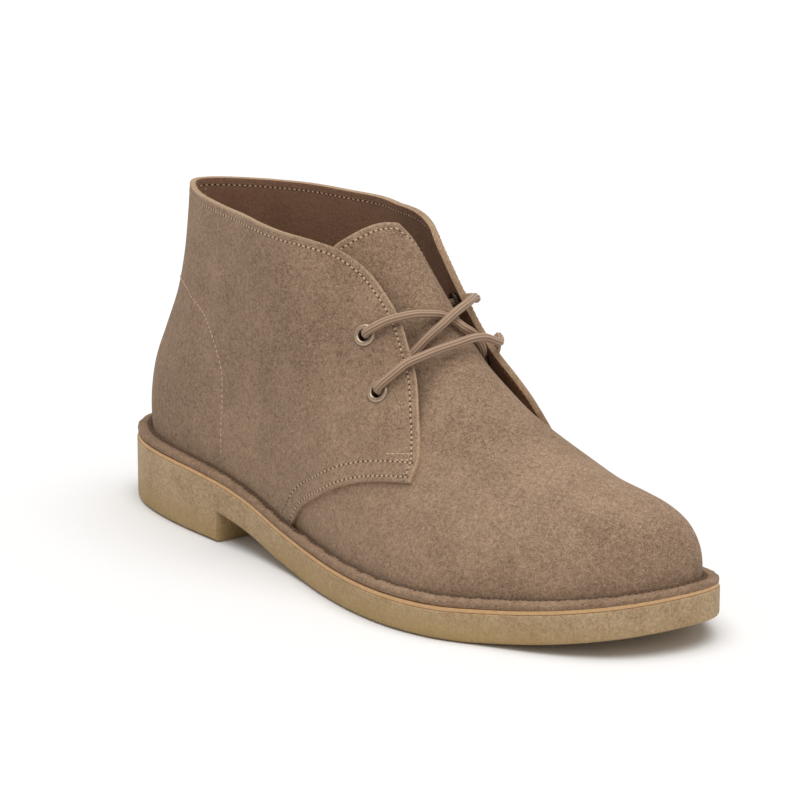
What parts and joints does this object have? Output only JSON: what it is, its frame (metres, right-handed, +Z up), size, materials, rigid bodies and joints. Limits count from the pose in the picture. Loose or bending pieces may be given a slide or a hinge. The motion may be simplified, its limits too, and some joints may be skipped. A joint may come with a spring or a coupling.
{
  "type": "chukka boot",
  "caption": "Right-foot ankle-high chukka boot: suede upper open at collar and throat, laced facings, wrapped welt and a thick crepe sole with a heel.",
  "frame": {"origin": "on the floor under the centre of the heel seat, 45 mm forward of the sole's back", "axes": "+X towards the toe, +Y towards the medial side, +Z up; the lateral side, which faces the camera in the picture, is at -Y"},
  "size_m": [0.3, 0.1048, 0.1298],
  "materials": {
    "crepe": "honey crepe rubber with a fine crumbed grain on its sides",
    "tan_leather": "smooth tan leather edge",
    "insole_leather": "smooth brown leather",
    "suede": "napped taupe suede",
    "brass": "aged brass",
    "cord": "round woven cotton cord"
  },
  "bodies": {
    "root": {"outsole": "crepe", "midsole": "tan_leather", "insole": "insole_leather", "welt": "suede", "upper": "suede", "tongue": "suede", "eyelet_lateral_upper": "brass", "eyelet_lateral_lower": "brass", "eyelet_medial_upper": "brass", "eyelet_medial_lower": "brass", "lace": "cord"}
  },
  "joints": []
}
